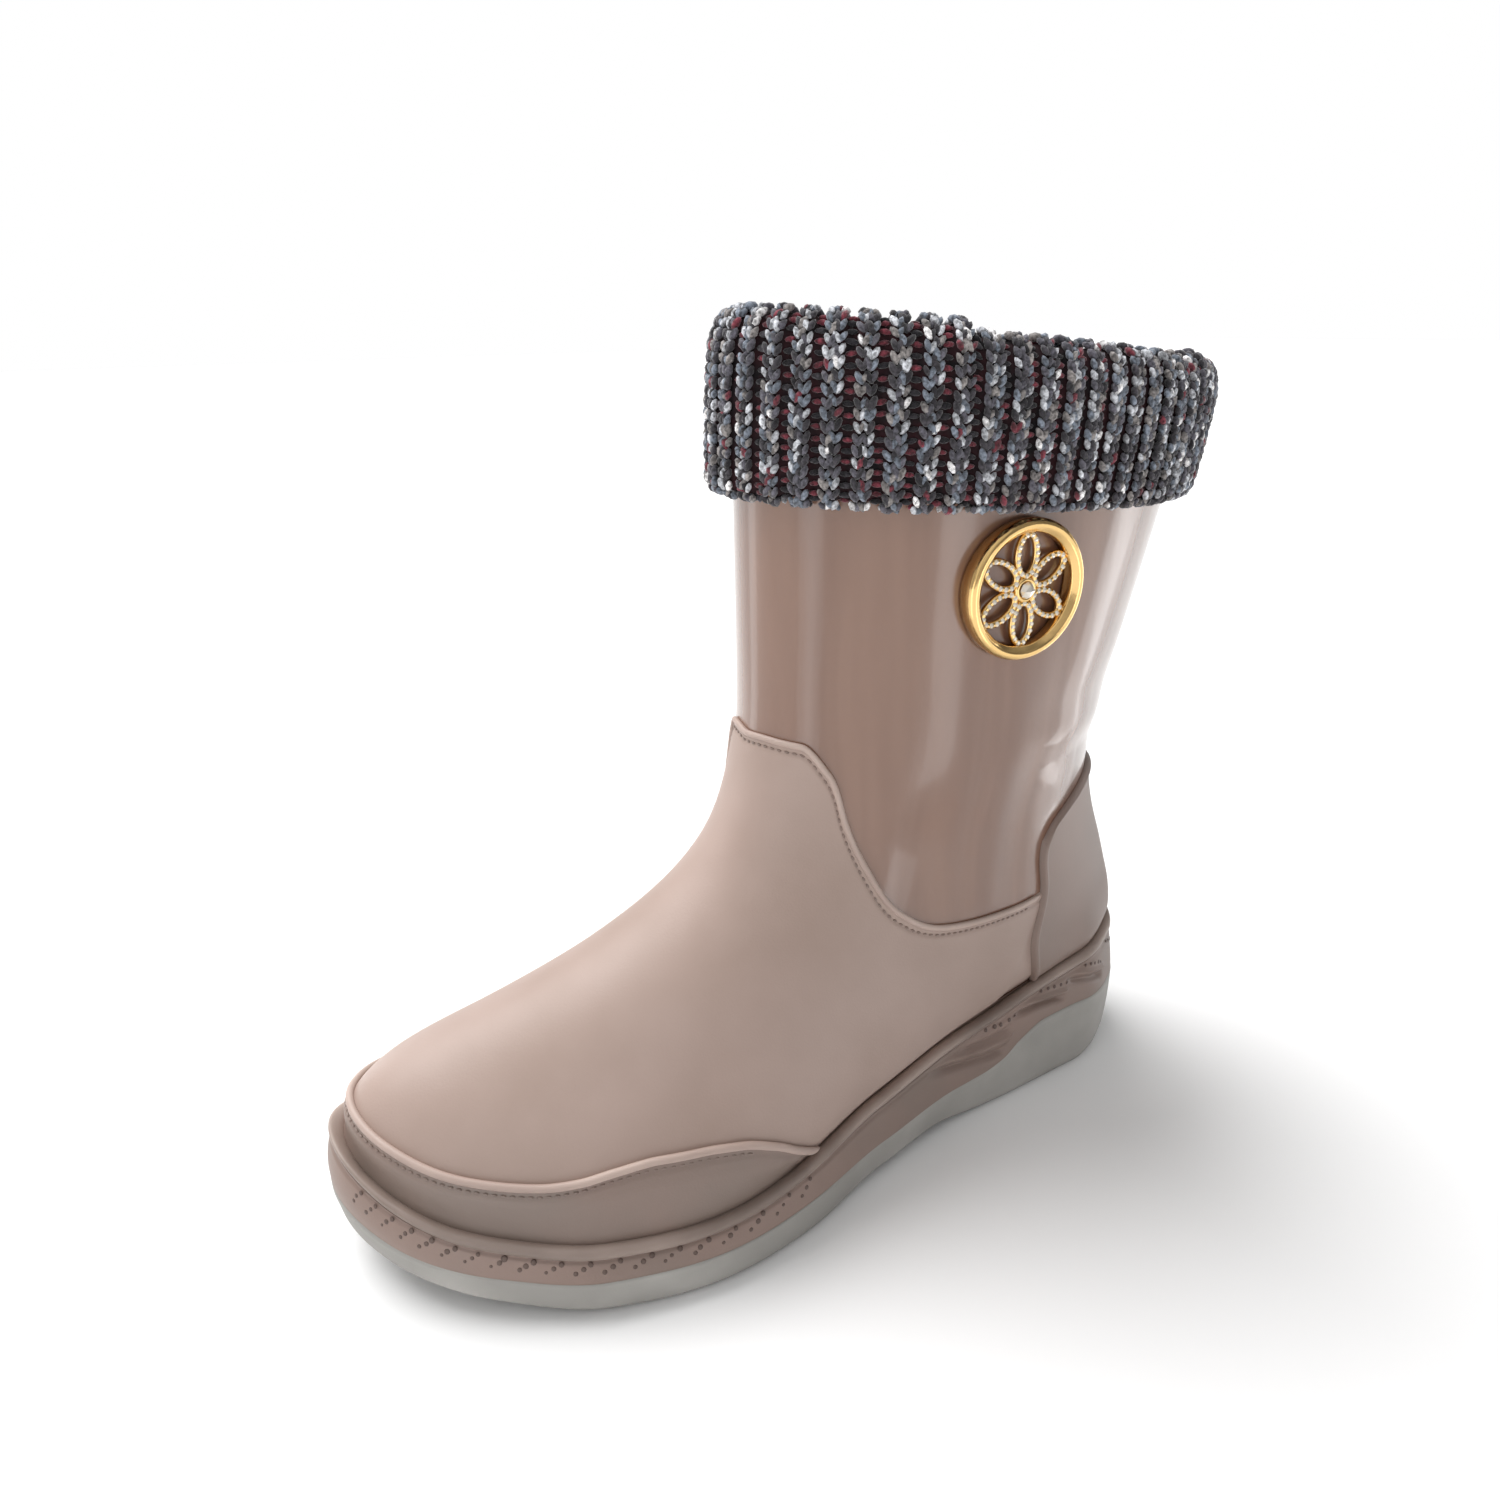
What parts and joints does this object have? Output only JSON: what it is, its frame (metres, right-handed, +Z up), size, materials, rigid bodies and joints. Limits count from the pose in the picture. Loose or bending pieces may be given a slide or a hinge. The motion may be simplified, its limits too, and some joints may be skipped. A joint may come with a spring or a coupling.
{
  "type": "rubber boot",
  "caption": "Short moulded rain boot for the left foot with a turned-down ribbed knit cuff, a proud toe guard and heel counter, a lugged sole and a gold ring badge",
  "frame": {"origin": "centre of the bounding box's footprint, on the floor", "axes": "+Z up, the toe points along -Y and the heel along +Y, +X is the outer (left) side of the left foot"},
  "size_m": [0.1048, 0.2812, 0.2421],
  "materials": {
    "outsole_rubber": "matte moulded rubber, warm grey",
    "boot_rubber": "moulded PVC, taupe; glossy shaft, matte galosh",
    "insole_fabric": "napped textile",
    "knit": "chunky marled rib knit",
    "gold": "polished gold plating"
  },
  "bodies": {
    "root": {"outsole": "outsole_rubber", "midsole": "boot_rubber", "upper": "boot_rubber", "toe_guard": "boot_rubber", "heel_counter": "boot_rubber", "insole": "insole_fabric", "knit_cuff": "knit", "badge": "gold"}
  },
  "joints": []
}
